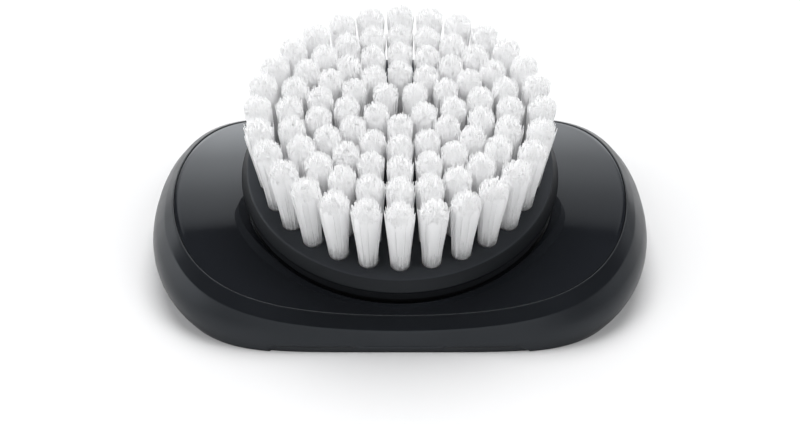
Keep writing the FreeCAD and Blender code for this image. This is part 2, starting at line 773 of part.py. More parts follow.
def make_chassis():
    """The base plate with the recess for the handle, the slider's bed and the lower bush's block."""
    body = new_body("chassis")
    add(body, rectangle("-chassis_half_width", "chassis_half_width", "-chassis_half_depth", "chassis_half_depth"),
        "chassis_low", "chassis_top")
    round_upright_edges(body, "chassis_corner")
    outer_width = "recess_half_width + recess_wall"
    outer_depth = "recess_half_depth + recess_wall"
    add(body, rectangle(f"-({outer_width})", outer_width, f"-({outer_depth})", outer_depth), "chassis_low", "recess_top")
    add(body, pocket_outline("pocket_wall"), "chassis_low", "pocket_top")
    for side in SIDES:
        pillar = rectangle(f"{side} * pillar_inner", f"{side} * pillar_outer", "pillar_front", "pillar_rear")
        add(body, pillar, "chassis_low", "pillar_top")
    add(body, ("0", "bush_block_reach", "bush_block_radius"), "recess_roof", "bush_block_stock_top")
    add(body, rectangle("-rib_half_width", "rib_half_width", "rib_front", "slider_front - screw_clearance * 5"),
        "pocket_roof", "rib_top")
    add(body, rectangle("-rib_rear_half_width", "rib_rear_half_width", "rib_rear", "pocket_rear + pocket_wall"),
        "pocket_roof", "rib_top")
    cut(body, rectangle("-recess_half_width", "recess_half_width", "-recess_half_depth", "recess_half_depth"),
        "0", "recess_roof")
    cut(body, pocket_outline("0"), "0", "pocket_roof")
    cut(body, rectangle("-pin_slot_half_width", "pin_slot_half_width", "pin_reach - pin_slot_half_depth",
                        "pin_reach + pin_slot_half_depth"), "pocket_roof", "pocket_top")
    cut(body, ("0", "0", "trim_radius"), "-lower_bush_top_w", "-deck_low_w", tilted=True)
    cut(body, ("0", "0", "lower_bush_radius + screw_clearance"), "-lower_bush_low_w", "-lower_bush_top_w", tilted=True)
    for side in SIDES:
        latch = rectangle(f"{side} * latch_inner", f"{side} * latch_outer", "-latch_half_length", "latch_half_length")
        cut(body, latch, "chassis_low", "chassis_top")
        for end in SIDES:
            place = (f"{side} * chassis_screw_reach", f"{end} * chassis_screw_spread")
            cut(body, (*place, "chassis_screw_radius + screw_clearance"), "chassis_low", "chassis_top")
            cut(body, (*place, "chassis_head_radius + screw_clearance"), "chassis_low",
                "chassis_low + chassis_head_height")
        for row in ("keeper_screw_front", "keeper_screw_rear"):
            hole = (f"{side} * keeper_screw_reach", row, "small_screw_radius + screw_clearance")
            cut(body, hole, "keeper_screw_low", "pillar_top")


def make_keeper(label, side):
    """A flat strip, screwed to its pillar, that holds one end of the slider down."""
    body = new_body(label)
    strip = rectangle(f"{side} * keeper_inner", f"{side} * pillar_outer", "pillar_front", "pillar_rear")
    add(body, strip, "keeper_low", "keeper_top")
    for row in ("keeper_screw_front", "keeper_screw_rear"):
        hole = (f"{side} * keeper_screw_reach", row, "small_screw_radius + screw_clearance")
        cut(body, hole, "keeper_low", "keeper_top")


# ---- slider ----------------------------------------------------------------------------------


def make_drive_slider():
    """The plate that the handle's drive pin pushes to and fro."""
    body = new_body("drive_slider")
    add(body, rectangle("-slider_half_width", "slider_half_width", "slider_front", "slider_rear"),
        "slider_low", "slider_top")
    add(body, ("0", "pin_reach", "slider_boss_radius"), "slider_low", "slider_boss_top")
    cut(body, ("0", "pin_reach", "insert_radius + screw_clearance"), "slider_low", "insert_top + screw_clearance")
    cut(body, ("0", "post_reach", "post_radius + screw_clearance"), "-post_low_w - wall", "-post_top_w", tilted=True)


def make_slider_post():
    """The steel post that works in the lever's fork, parallel to the brush axis."""
    post = new_body("slider_post", tilted=True)
    add(post, ("0", "post_reach", "post_radius"), "-post_low_w", "-post_top_w")


def make_pin_socket_insert():
    insert = new_body("pin_socket_insert")
    add(insert, ("0", "pin_reach", "insert_radius"), "slider_low", "insert_top")
    cut(insert, ("0", "pin_reach", "insert_bore_radius"), "slider_low", "insert_top")


# ---- screws ----------------------------------------------------------------------------------


def screw(x, y, head_low, head_high, head_radius, tip, radius):
    """One plain screw with a cross slot in its head; the tip lies above or below the head."""
    head = upright(head_radius, head_low, head_high, x, y)
    shank_low, shank_high = sorted((tip, (head_low + head_high) / 2))
    solid = head.fuse(upright(radius, shank_low, shank_high, x, y))
    drive_face = head_high if tip < head_low else head_low
    length = 1.1 * head_radius
    width = 0.3 * head_radius
    depth = head_high - head_low
    for across, along in ((length, width), (width, length)):
        corner = FreeCAD.Vector(x - across / 2, y - along / 2, drive_face - depth / 2)
        solid = solid.cut(Part.makeBox(across, along, depth, corner))
    return solid.removeSplitter()


def make_chassis_screws():
    low = size("chassis_low")
    high = low + size("chassis_head_height") - size("screw_clearance")
    return Part.makeCompound([
        screw(x, y, low, high, size("chassis_head_radius"), size("chassis_screw_end"), size("chassis_screw_radius"))
        for x, y in corner_places("chassis_screw_reach", "chassis_screw_spread")
    ])


def make_turret_screws():
    high = size("ear_low") - size("screw_clearance")
    low = high - size("small_head_height")
    return Part.makeCompound([
        screw(x, y, low, high, size("small_head_radius"), size("turret_screw_end"), size("small_screw_radius"))
        for x, y in corner_places("turret_screw_reach", "turret_screw_spread")
    ])


def make_keeper_screws():
    low = size("keeper_top") + size("screw_clearance")
    high = low + size("small_head_height")
    places = [
        (side * size("keeper_screw_reach"), size(row))
        for side in SIDES
        for row in ("keeper_screw_front", "keeper_screw_rear")
    ]
    return Part.makeCompound([
        screw(x, y, low, high, size("small_head_radius"), size("keeper_screw_low"), size("small_screw_radius"))
        for x, y in places
    ])


# ---- assembly --------------------------------------------------------------------------------


def add_shape(label, shape, tilted=False):
    """A sub-part whose form is worked out from the sheet by Part's own functions."""
    feature = doc.addObject("Part::Feature", label)
    feature.Label = label
    feature.Shape = shape
    if tilted:
        follow_tilt(feature)
    nodes.append(feature)


def build():
    fill_sheet()
    add_shape("housing_shell", make_housing_shell())
    add_shape("top_cover", make_top_cover())
    make_turret()
    make_chassis()
    make_keeper("slider_keeper_left", -1)
    make_keeper("slider_keeper_right", 1)
    make_bearings()
    make_drive_spindle()
    make_drive_hub()
    make_head_snap_ring()
    make_drive_lever()
    make_spindle_circlip()
    make_drive_slider()
    make_slider_post()
    make_pin_socket_insert()
    make_brush_carrier()
    make_tuft_plate()
    for number, ring in enumerate(RINGS, start=1):
        add_shape(f"tufts_ring_{number}", make_tuft_ring(ring), tilted=True)
    add_shape("tuft_anchors", make_tuft_anchors(), tilted=True)
    add_shape("chassis_screws", make_chassis_screws())
    add_shape("turret_screws", make_turret_screws())
    add_shape("keeper_screws", make_keeper_screws())
    doc.recompute()


def check():
    """Stops before anything is written if an object failed or a sub-part is not a valid solid."""
    for item in doc.Objects:
        if "Invalid" in item.State or "Error" in item.State:
            raise RuntimeError(f"{item.Label}: {item.State}")
    for node in nodes:
        shape = node.Shape
        if shape.isNull() or not shape.isValid() or not shape.Solids:
            raise RuntimeError(f"{node.Label}: not a valid solid")


def write():
    os.makedirs("parts", exist_ok=True)
    for node in nodes:
        node.Shape.exportStep(f"parts/{node.Label}.step")
        box = node.Shape.optimalBoundingBox()
        print(f"{node.Label}: {len(node.Shape.Solids)} solids, {node.Shape.Volume:.2f} mm3, "
              f"Z {box.ZMin:.2f} to {box.ZMax:.2f}")


build()
check()
write()
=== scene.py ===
import math
import random

import bmesh
import bpy
import numpy as np
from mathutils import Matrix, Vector
from mathutils.geometry import delaunay_2d_cdt


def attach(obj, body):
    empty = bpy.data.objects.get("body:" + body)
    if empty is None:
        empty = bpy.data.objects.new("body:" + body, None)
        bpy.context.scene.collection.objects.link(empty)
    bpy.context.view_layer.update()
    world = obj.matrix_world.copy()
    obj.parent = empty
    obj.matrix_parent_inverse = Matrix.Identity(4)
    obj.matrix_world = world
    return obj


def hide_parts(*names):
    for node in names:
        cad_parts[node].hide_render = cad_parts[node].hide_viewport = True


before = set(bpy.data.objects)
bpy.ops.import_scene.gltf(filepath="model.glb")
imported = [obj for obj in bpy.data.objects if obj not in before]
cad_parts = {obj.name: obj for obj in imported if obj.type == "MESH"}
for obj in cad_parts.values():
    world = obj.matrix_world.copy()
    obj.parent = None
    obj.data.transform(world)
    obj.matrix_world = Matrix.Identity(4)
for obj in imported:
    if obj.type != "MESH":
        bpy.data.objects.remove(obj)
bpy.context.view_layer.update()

# Click-on facial cleansing brush. Lengths below are in millimetres and turned into metres by MM.
MM = 0.001
SEED = 7

# ---- sizes shared with the CAD model ----------------------------------------------------------
# Outlines: half width, half depth, power, power at the ends, height in the middle, rise of the ends.
FOOT = (25.65, 21.4, 5.2, 2.1, 0.0, 0.0)
BELLY = (27.5, 21.05, 4.9, 2.14, 1.15, 2.1)
SHOULDER = (25.95, 20.55, 4.55, 2.19, 2.3, 4.15)
SEAM = (25.15, 19.1, 4.75, 2.0, 3.0, 4.25)
SEAM_LAND, SEAM_GAP = 0.12, 0.08
WALL, COVER_THICKNESS, LEDGE_THICKNESS = 1.2, 0.9, 0.8
OPENING_RADIUS, LEDGE_HOLE_RADIUS = 17.05, 15.75
NOTCH_HALF_WIDTH, NOTCH_HEIGHT, NOTCH_DEPTH = 13.2, 0.75, 0.2
TILT = math.radians(14.4)
DISC_CENTRE = np.array([0.0, 0.0, 9.73])
DISC_AXIS = np.array([0.0, -math.sin(TILT), math.cos(TILT)])
DISC_ACROSS = np.array([1.0, 0.0, 0.0])
DISC_BACK = np.array([0.0, math.cos(TILT), math.sin(TILT)])
CREASE_RADIUS, RIM_RADIUS = 16.9, 17.63
BAND_LOW, LIP_LOW, PLUG_RADIUS, PLUG_LOW = -1.23, -1.45, 16.3, -1.8
HOLE_RADIUS = 1.03
# Radius and number of tufts of each ring.
RINGS = {1: (2.65, 5), 2: (5.7, 12), 3: (8.7, 18), 4: (11.65, 24), 5: (14.65, 28)}
TUFT_LENGTH = 9.2


# ---- mesh helpers -----------------------------------------------------------------------------
def outline_point(turn, outline, grow=0.0):
    """A point of an outline: flat along X, rounded at the ends, which rise along a parabola."""
    half_width, half_depth, power, end_power, height, rise = outline
    across = math.cos(turn)
    along = math.copysign((1 - abs(across) ** power) ** (1 / end_power), math.sin(turn))
    return np.array([(half_width + grow) * across, (half_depth + grow) * along, height + rise * across**2])


def wall_point(turn, share, grow=0.0):
    """A point of the bulging wall, from the foot (share 0) to the shoulder (share 1)."""
    foot, belly, shoulder = (outline_point(turn, outline, grow) for outline in (FOOT, BELLY, SHOULDER))
    bow = belly - (foot + shoulder) / 2
    return foot + (shoulder - foot) * share + 4 * share * (1 - share) * bow


def saddle(x, drop=0.0):
    """Height of the hollow top surface."""
    return SEAM[4] + SEAM[5] * (x / SEAM[0]) ** 2 - drop


def on_saddle(point, drop=0.0):
    """The point moved up or down on to the hollow top surface, or a drop below it."""
    return np.array([point[0], point[1], saddle(point[0], drop)])


def object_from(name, vertices, faces):
    """A smooth-shaded mesh object, in metres, from vertices in millimetres."""
    mesh = bpy.data.meshes.new(name)
    mesh.from_pydata((np.asarray(vertices) * MM).tolist(), [], faces)
    mesh.validate()
    work = bmesh.new()
    work.from_mesh(mesh)
    bmesh.ops.recalc_face_normals(work, faces=work.faces)
    work.to_mesh(mesh)
    work.free()
    mesh.polygons.foreach_set("use_smooth", [True] * len(mesh.polygons))
    thing = bpy.data.objects.new(name, mesh)
    bpy.context.scene.collection.objects.link(thing)
    return thing


def ring_faces(count, rings, closed):
    """Quads between rings of the same number of points; closed joins the last ring to the first."""
    faces = []
    for low in range(rings if closed else rings - 1):
        high = (low + 1) % rings
        for step in range(count):
            after = (step + 1) % count
            faces.append([low * count + step, low * count + after, high * count + after, high * count + step])
    return faces


ROUNDING_STEPS = 5
# The most of an edge that a rounding may take, where its other end is rounded too or isn't.
ROOM_SHARED, ROOM_ALONE = 0.45, 0.9


def bend(enter, corner, leave):
    """Points of the curve that rounds off a corner."""
    shares = [step / ROUNDING_STEPS for step in range(ROUNDING_STEPS + 1)]
    return [(1 - t) ** 2 * enter + 2 * t * (1 - t) * corner + t**2 * leave for t in shares]


def tangent_point(corner, radius, other, other_radius):
    """Where the rounding of a corner meets the edge to the other corner."""
    edge = other - corner
    room = ROOM_SHARED if other_radius else ROOM_ALONE
    return corner + edge * min(room, radius / np.linalg.norm(edge)) if radius else corner


def rounded(corners):
    """A closed chain with its corners rounded off.

    A corner is its point, its rounding, and the run to the next one: the number of pieces, and how far
    below the hollow top surface the run lies, or None for a straight run.
    """
    chain = []
    for index, (point, radius, (pieces, drop)) in enumerate(corners):
        before, before_radius, _ = corners[index - 1]
        after, after_radius, _ = corners[(index + 1) % len(corners)]
        leave = tangent_point(point, radius, after, after_radius)
        if radius:
            chain += bend(tangent_point(point, radius, before, before_radius), point, leave)
        else:
            chain.append(point)
        stop = tangent_point(after, after_radius, point, radius)
        for step in range(1, pieces):
            between = leave + (stop - leave) * step / pieces
            chain.append(between if drop is None else on_saddle(between, drop))
    return chain


def turned_mesh(name, chains):
    """Joins one closed profile chain per angle into a surface that runs right round."""
    grid = np.array(chains).transpose(1, 0, 2)
    rings, count, _ = grid.shape
    return object_from(name, grid.reshape(-1, 3), ring_faces(count, rings, True))


# ---- housing shell and cover ------------------------------------------------------------------
# Where the points of the wall's section lie between its two ends.
WALL_SHARES = (0.12, 0.2, 0.29, 0.38, 0.47, 0.56, 0.65, 0.74, 0.82)
OUTLINE_STEPS = 480
# Extra steps at each end of the front inset, and how far round they reach, in radians.
NOTCH_END_STEPS, NOTCH_END_REACH = 51, 0.07
# Run of the inset's slanted end for each unit of its height.
NOTCH_SLANT = 2
# How softly the edges are rounded.
SHOULDER_SOFT, SEAM_SOFT, LAND_SOFT, INNER_SOFT = 0.13, 0.03, 0.02, 0.1
OPENING_SOFT, COVER_EDGE_SOFT = 0.06, 0.07
# The search for the ledge's underside: where it starts, and how often it is corrected.
ROOF_FIRST_SHARE, ROOF_ROUNDS = 0.7, 6


def outline_turns():
    """Even steps round the housing, with more of them at the ends of the front inset."""
    turns = list(np.linspace(0, 2 * math.pi, OUTLINE_STEPS, endpoint=False))
    for x in (-NOTCH_HALF_WIDTH, NOTCH_HALF_WIDTH):
        middle = -math.acos(x / FOOT[0])
        near = np.linspace(middle - NOTCH_END_REACH, middle + NOTCH_END_REACH, NOTCH_END_STEPS)
        turns += list(near % (2 * math.pi))
    return sorted(set(round(turn, 6) for turn in turns))


def notch_lift(x, y):
    """Height of the inset under the front edge: rounded at the left end, slanted at the right end."""
    if y > 0 or abs(x) >= NOTCH_HALF_WIDTH:
        return 0.0
    left = (x + NOTCH_HALF_WIDTH) / NOTCH_HEIGHT
    if left < 1:
        return NOTCH_HEIGHT * math.sqrt(1 - (1 - left) ** 2)
    return min(NOTCH_HEIGHT, (NOTCH_HALF_WIDTH - x) / NOTCH_SLANT)


def wall_corners(turn, first, last, grow=0.0):
    """Unrounded points up or down the wall between two shares."""
    shares = first + (last - first) * np.array(WALL_SHARES)
    return [(wall_point(turn, share, grow), 0, (1, None)) for share in shares]


def roof_share(turn, drop):
    """How far up the inside of the wall the underside of the ledge meets it."""
    share = ROOF_FIRST_SHARE
    for _ in range(ROOF_ROUNDS):
        point = wall_point(turn, share, -WALL)
        share *= saddle(point[0], drop) / point[2]
    return share


def shell_chain(turn):
    """The shell's whole section at one step round: wall, shoulder, seam, ledge and inside."""
    foot = wall_point(turn, 0)
    lift = notch_lift(foot[0], foot[1])
    first = lift / outline_point(turn, SHOULDER)[2]
    inset_low = outline_point(turn, FOOT, -NOTCH_DEPTH)
    inset_high = outline_point(turn, FOOT, -NOTCH_DEPTH if lift else -NOTCH_DEPTH / 2)
    inset_high = inset_high + np.array([0, 0, lift])
    seam = outline_point(turn, SEAM)
    land = outline_point(turn, SEAM, -SEAM_LAND)
    hole = LEDGE_HOLE_RADIUS * np.array([math.cos(turn), math.sin(turn)])
    ledge = COVER_THICKNESS + LEDGE_THICKNESS
    top_share = roof_share(turn, ledge)
    roof = on_saddle(wall_point(turn, top_share, -WALL), ledge)
    return rounded([
        (wall_point(turn, 0, -WALL), 0, (2, None)),
        (inset_low, 0, (2, None)),
        (inset_high, 0, (1, None)),
        (wall_point(turn, first), INNER_SOFT, (1, None)),
        *wall_corners(turn, first, 1),
        (wall_point(turn, 1), SHOULDER_SOFT, (6, None)),
        (on_saddle(seam), SEAM_SOFT, (1, None)),
        (on_saddle(land), LAND_SOFT, (3, None)),
        (on_saddle(land, COVER_THICKNESS), 0, (14, COVER_THICKNESS)),
        (on_saddle(hole, COVER_THICKNESS), INNER_SOFT, (2, None)),
        (on_saddle(hole, ledge), INNER_SOFT, (12, ledge)),
        (roof, INNER_SOFT, (1, None)),
        *wall_corners(turn, top_share, 0, -WALL),
    ])


def cover_chain(turn):
    """The cover's section at one step round, from the round opening to the seam and back underneath."""
    opening = OPENING_RADIUS * np.array([math.cos(turn), math.sin(turn)])
    edge = outline_point(turn, SEAM, -SEAM_LAND - SEAM_GAP)
    return rounded([
        (on_saddle(opening, COVER_THICKNESS), 0, (3, None)),
        (on_saddle(opening), OPENING_SOFT, (26, 0.0)),
        (on_saddle(edge), COVER_EDGE_SOFT, (3, None)),
        (on_saddle(edge, COVER_THICKNESS), 0, (14, COVER_THICKNESS)),
    ])


# ---- brush head -------------------------------------------------------------------------------
def on_disc(radius, angle, rise):
    """A point given by its radius and angle round the tilted disc, and its height above it."""
    radial = math.cos(angle) * DISC_ACROSS + math.sin(angle) * DISC_BACK
    return DISC_CENTRE + radius * radial + rise * DISC_AXIS


def tuft_places(ring):
    """Radius and angle of each tuft of a ring, the first one at the front."""
    radius, count = RINGS[ring]
    return [(radius, -math.pi / 2 + 2 * math.pi * step / count) for step in range(count)]


PLATE_STEPS, HOLE_STEPS = 288, 28
TOP_EDGE_RADIUS = CREASE_RADIUS - 0.5
PLUG_MIDDLE_RADIUS = 0.6
COUNTERSINK, HOLE_DEPTH = 0.12, 1.2
# Points of the flat top that are nearer than this count as one.
MERGE_DISTANCE = 1e-6
# The plate's section: radius, height and rounding of each corner, from the top round to the plug.
PLATE_CORNERS = (
    (CREASE_RADIUS, 0.0, 0.22), (RIM_RADIUS, BAND_LOW, 0.1), (RIM_RADIUS, LIP_LOW, 0.06),
    (PLUG_RADIUS, LIP_LOW, 0.0), (PLUG_RADIUS, PLUG_LOW, 0.1),
)


def circle(radius, steps, across=0.0, back=0.0):
    """Points of a circle in the disc's plane."""
    turns = [2 * math.pi * step / steps for step in range(steps)]
    return [(across + radius * math.cos(t), back + radius * math.sin(t)) for t in turns]


def disc_point(across, back, rise=0.0):
    """A point given by its place in the disc's plane and its height above it."""
    return DISC_CENTRE + across * DISC_ACROSS + back * DISC_BACK + rise * DISC_AXIS


def plate_section():
    """The plate's section from the edge of its flat top, round the rim, to the middle of its plug."""
    section = [(TOP_EDGE_RADIUS, 0.0)]
    ends = (*PLATE_CORNERS, (0.0, PLUG_LOW, 0.0))
    for index, (radius, rise, soft) in enumerate(PLATE_CORNERS):
        point = np.array([radius, rise])
        before = np.array(PLATE_CORNERS[index - 1][:2] if index else section[0]) - point
        after = np.array(ends[index + 1][:2]) - point
        if soft:
            enter = point + before * soft / np.linalg.norm(before)
            leave = point + after * soft / np.linalg.norm(after)
            section += [tuple(step) for step in bend(enter, point, leave)]
        else:
            section.append((radius, rise))
    section.append((PLUG_MIDDLE_RADIUS, PLUG_LOW))
    return section


def plate_mesh():
    """The round plate: a flat top with a countersunk hole for each tuft, a bevelled rim and a lip."""
    section = plate_section()
    angles = [2 * math.pi * step / PLATE_STEPS for step in range(PLATE_STEPS)]
    vertices = [on_disc(radius, angle, rise) for radius, rise in section for angle in angles]
    faces = ring_faces(PLATE_STEPS, len(section), False)
    last = (len(section) - 1) * PLATE_STEPS
    faces.append(list(range(last, last + PLATE_STEPS)))
    centres = [(r * math.cos(a), r * math.sin(a)) for ring in RINGS for r, a in tuft_places(ring)]
    for centre, top in zip(centres, add_top(vertices, faces, centres)):
        add_hole(vertices, faces, centre, top)
    return vertices, faces


def add_top(vertices, faces, centres):
    """The flat top between the holes; gives each hole's ring of vertices."""
    flat = circle(TOP_EDGE_RADIUS, PLATE_STEPS)
    loops = [list(range(PLATE_STEPS))]
    for centre in centres:
        loops.append(list(range(len(flat), len(flat) + HOLE_STEPS)))
        flat += circle(HOLE_RADIUS + COUNTERSINK, HOLE_STEPS, *centre)
    points, _, triangles, _, _, _ = delaunay_2d_cdt([Vector(p) for p in flat], [], loops, 0, MERGE_DISTANCE)
    index = list(range(PLATE_STEPS))
    for point in points[PLATE_STEPS:]:
        index.append(len(vertices))
        vertices.append(disc_point(*point))
    for triangle in triangles:
        owners = {(v - PLATE_STEPS) // HOLE_STEPS for v in triangle}
        if len(owners) > 1 or min(triangle) < PLATE_STEPS:
            faces.append([index[v] for v in triangle])
    return [[index[v] for v in loop] for loop in loops[1:]]


def add_hole(vertices, faces, centre, top):
    """The countersink, wall and floor of one hole, below its ring of vertices in the top."""
    upper = top
    for rise in (-COUNTERSINK, -HOLE_DEPTH):
        lower = list(range(len(vertices), len(vertices) + HOLE_STEPS))
        vertices += [disc_point(*point, rise) for point in circle(HOLE_RADIUS, HOLE_STEPS, *centre)]
        for step in range(HOLE_STEPS):
            after = (step + 1) % HOLE_STEPS
            faces.append([upper[step], upper[after], lower[after], lower[step]])
        upper = lower
    faces.append(upper)


# A tuft's radius in its hole; by ring, its radius at the tip, and how far the tip leans outwards.
TUFT_ROOT_RADIUS = 1.01
TUFT_TIP_RADIUS = {1: 1.5, 2: 1.5, 3: 1.53, 4: 1.6, 5: 1.66}
TUFT_LEAN = {1: 0.0, 2: 0.0, 3: 0.0, 4: 0.1, 5: 0.55}
# Filaments in one tuft, and the shape of each.
FILAMENTS = 230
FILAMENT_SIDES = 3
FILAMENT_RADIUS = 0.075
FILAMENT_TIP_SHARE = 0.45
FILAMENT_ROOT_DEPTH = 0.9
FILAMENT_LEVELS = (0.0, 0.35, 0.7, 0.9, 1.0)
FILAMENT_SPREAD_POWER = 0.9
# The tuft's domed end, and how unevenly the filaments are cut, lean and curl.
CROWN_EXTRA, CROWN_DROP, CROWN_POWER = 0.03, 0.85, 2.6
CUT_SPREAD, STRAY_SPREAD, TURN_SPREAD = 0.17, 0.1, 0.05
CURL_LEAST, CURL_MOST = 0.7, 1.5
CORE_SIDES = 20
CORE_RADIUS, CORE_MARGIN = 0.95, 0.14
# Height and radius of the core near the plate, then height and share of its widening above.
CORE_FOOT = ((-1.1, 0.93), (0.0, 0.95), (0.4, 0.96))
CORE_LEVELS = ((3.0, 0.39), (5.5, 0.75), (7.5, 1.0), (8.1, 0.7), (8.6, -0.3))


class Tuft:
    """Where one tuft stands on the plate's top, which ways are outwards and across, and its shape."""

    def __init__(self, ring, radius, angle):
        self.foot = on_disc(radius, angle, 0.0)
        self.outwards = math.cos(angle) * DISC_ACROSS + math.sin(angle) * DISC_BACK
        self.across = np.cross(DISC_AXIS, self.outwards)
        self.tip_radius = TUFT_TIP_RADIUS[ring]
        self.lean = TUFT_LEAN[ring]

    def middle(self, rise):
        """The middle of the tuft at a height: it leans outwards above the plate."""
        return self.foot + rise * DISC_AXIS + self.lean * max(0.0, rise) / TUFT_LENGTH * self.outwards

    def sideways(self, turn):
        """The direction across the tuft at an angle round it."""
        return math.cos(turn) * self.outwards + math.sin(turn) * self.across


def add_tube(faces, start, sides, levels):
    """The side and end faces of a tube whose vertices follow one another from start."""
    faces += [[start + v for v in face] for face in ring_faces(sides, levels, False)]
    last = start + (levels - 1) * sides
    faces.append(list(range(last, last + sides)))
    faces.append(list(range(start, start + sides))[::-1])


def add_core(vertices, faces, tuft):
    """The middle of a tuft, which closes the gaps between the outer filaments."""
    widening = tuft.tip_radius - CORE_RADIUS - CORE_MARGIN
    levels = [*CORE_FOOT, *((rise, CORE_RADIUS + share * widening) for rise, share in CORE_LEVELS)]
    start = len(vertices)
    for rise, radius in levels:
        for step in range(CORE_SIDES):
            turn = 2 * math.pi * step / CORE_SIDES
            vertices.append(tuft.middle(rise) + radius * tuft.sideways(turn))
    add_tube(faces, start, CORE_SIDES, len(levels))


def add_filament(vertices, faces, draw, tuft, share, turn):
    """One filament: straight out of the hole, then fanning outwards with a little curl of its own."""
    root = (TUFT_ROOT_RADIUS - FILAMENT_RADIUS) * share
    tip = (tuft.tip_radius - FILAMENT_RADIUS) * share
    crown = TUFT_LENGTH + CROWN_EXTRA - CROWN_DROP * share**CROWN_POWER
    length = crown - abs(draw.gauss(0, CUT_SPREAD))
    stray = draw.gauss(0, STRAY_SPREAD) * tuft.outwards + draw.gauss(0, STRAY_SPREAD) * tuft.across
    curl = draw.uniform(CURL_LEAST, CURL_MOST)
    start = len(vertices)
    for level in FILAMENT_LEVELS:
        rise = -FILAMENT_ROOT_DEPTH + (length + FILAMENT_ROOT_DEPTH) * level
        up = max(0.0, rise) / TUFT_LENGTH
        reach = root + (tip - root) * up**FILAMENT_SPREAD_POWER
        centre = tuft.middle(rise) + reach * tuft.sideways(turn) + up**curl * stray
        radius = FILAMENT_RADIUS * (1.0 if level < 1.0 else FILAMENT_TIP_SHARE)
        for side in range(FILAMENT_SIDES):
            angle = 2 * math.pi * (side + 0.5) / FILAMENT_SIDES + turn
            vertices.append(centre + radius * tuft.sideways(angle))
    add_tube(faces, start, FILAMENT_SIDES, len(FILAMENT_LEVELS))


def tuft_ring_mesh(ring):
    """All tufts of one ring."""
    draw = random.Random(SEED + ring)
    vertices, faces = [], []
    golden = math.pi * (3 - math.sqrt(5))
    for radius, angle in tuft_places(ring):
        tuft = Tuft(ring, radius, angle)
        add_core(vertices, faces, tuft)
        first = draw.uniform(0, 2 * math.pi)
        for number in range(FILAMENTS):
            share = math.sqrt((number + 0.5) / FILAMENTS)
            turn = first + golden * number + draw.gauss(0, TURN_SPREAD)
            add_filament(vertices, faces, draw, tuft, share, turn)
    return vertices, faces


# ---- materials --------------------------------------------------------------------------------
COOL_GLOSS = (0.88, 0.94, 1.0)
# Depth of a fine relief, in metres.
RELIEF = 0.02 * MM
# Painted shade: the plate's bevel is given a darker colour than its top.
BEVEL_PAINTED_SHADE = (0.006, 0.0066, 0.008)
# How far below the plate's flat top its painted sheen begins to fade, and where it has gone.
PAINTED_SHEEN_FADES, PAINTED_SHEEN_GONE = 0.04, 0.12


def new_material(name, base, roughness, metallic=0.0, specular=0.5, tint_of_gloss=(1, 1, 1)):
    """A Principled material; what is the same all over is set on the shader's own sockets."""
    material = bpy.data.materials.new(name)
    material.use_nodes = True
    shader = material.node_tree.nodes["Principled BSDF"]
    shader.inputs["Base Color"].default_value = (*base, 1)
    shader.inputs["Roughness"].default_value = roughness
    shader.inputs["Metallic"].default_value = metallic
    shader.inputs["Specular IOR Level"].default_value = specular
    shader.inputs["Specular Tint"].default_value = (*tint_of_gloss, 1)
    return material, material.node_tree, shader


def noise(tree, scale, detail, rough=0.5, stretch=(1, 1, 1)):
    """Noise in the object's own coordinates; scale counts features per metre."""
    place = tree.nodes.new("ShaderNodeTexCoord")
    mapping = tree.nodes.new("ShaderNodeMapping")
    mapping.inputs["Scale"].default_value = stretch
    texture = tree.nodes.new("ShaderNodeTexNoise")
    texture.inputs["Scale"].default_value = scale
    texture.inputs["Detail"].default_value = detail
    texture.inputs["Roughness"].default_value = rough
    tree.links.new(place.outputs["Object"], mapping.inputs["Vector"])
    tree.links.new(mapping.outputs["Vector"], texture.inputs["Vector"])
    return texture.outputs["Fac"]


def spread(tree, value, low, high, start=0.3, end=0.7):
    """Maps a value between start and end on to the range from low to high."""
    node = tree.nodes.new("ShaderNodeMapRange")
    node.inputs["From Min"].default_value = start
    node.inputs["From Max"].default_value = end
    node.inputs["To Min"].default_value = low
    node.inputs["To Max"].default_value = high
    tree.links.new(value, node.inputs["Value"])
    return node.outputs["Result"]


def tint(tree, shader, value, dark, light, start=0.3, end=0.7):
    """Colour that varies between two shades with a value."""
    ramp = tree.nodes.new("ShaderNodeValToRGB")
    stops = ramp.color_ramp.elements
    stops[0].position, stops[1].position = start, end
    stops[0].color, stops[1].color = (*dark, 1), (*light, 1)
    tree.links.new(value, ramp.inputs["Fac"])
    tree.links.new(ramp.outputs["Color"], shader.inputs["Base Color"])


def bump(tree, shader, value, strength, distance):
    """Relief from a value: how strong, and how deep in metres."""
    node = tree.nodes.new("ShaderNodeBump")
    node.inputs["Strength"].default_value = strength
    node.inputs["Distance"].default_value = distance
    tree.links.new(value, node.inputs["Height"])
    tree.links.new(node.outputs["Normal"], shader.inputs["Normal"])


def plastic(name, dark, light, roughness, grain=9000, strength=0.12, specular=0.5):
    """Moulded plastic with a fine spark-eroded grain and slow changes of gloss."""
    material, tree, shader = new_material(name, light, roughness, specular=specular, tint_of_gloss=COOL_GLOSS)
    tint(tree, shader, noise(tree, scale=160, detail=3), dark, light)
    gloss = noise(tree, scale=420, detail=5, rough=0.6)
    tree.links.new(spread(tree, gloss, roughness * 0.9, roughness * 1.1), shader.inputs["Roughness"])
    bump(tree, shader, noise(tree, scale=grain, detail=2), strength, RELIEF)
    return material


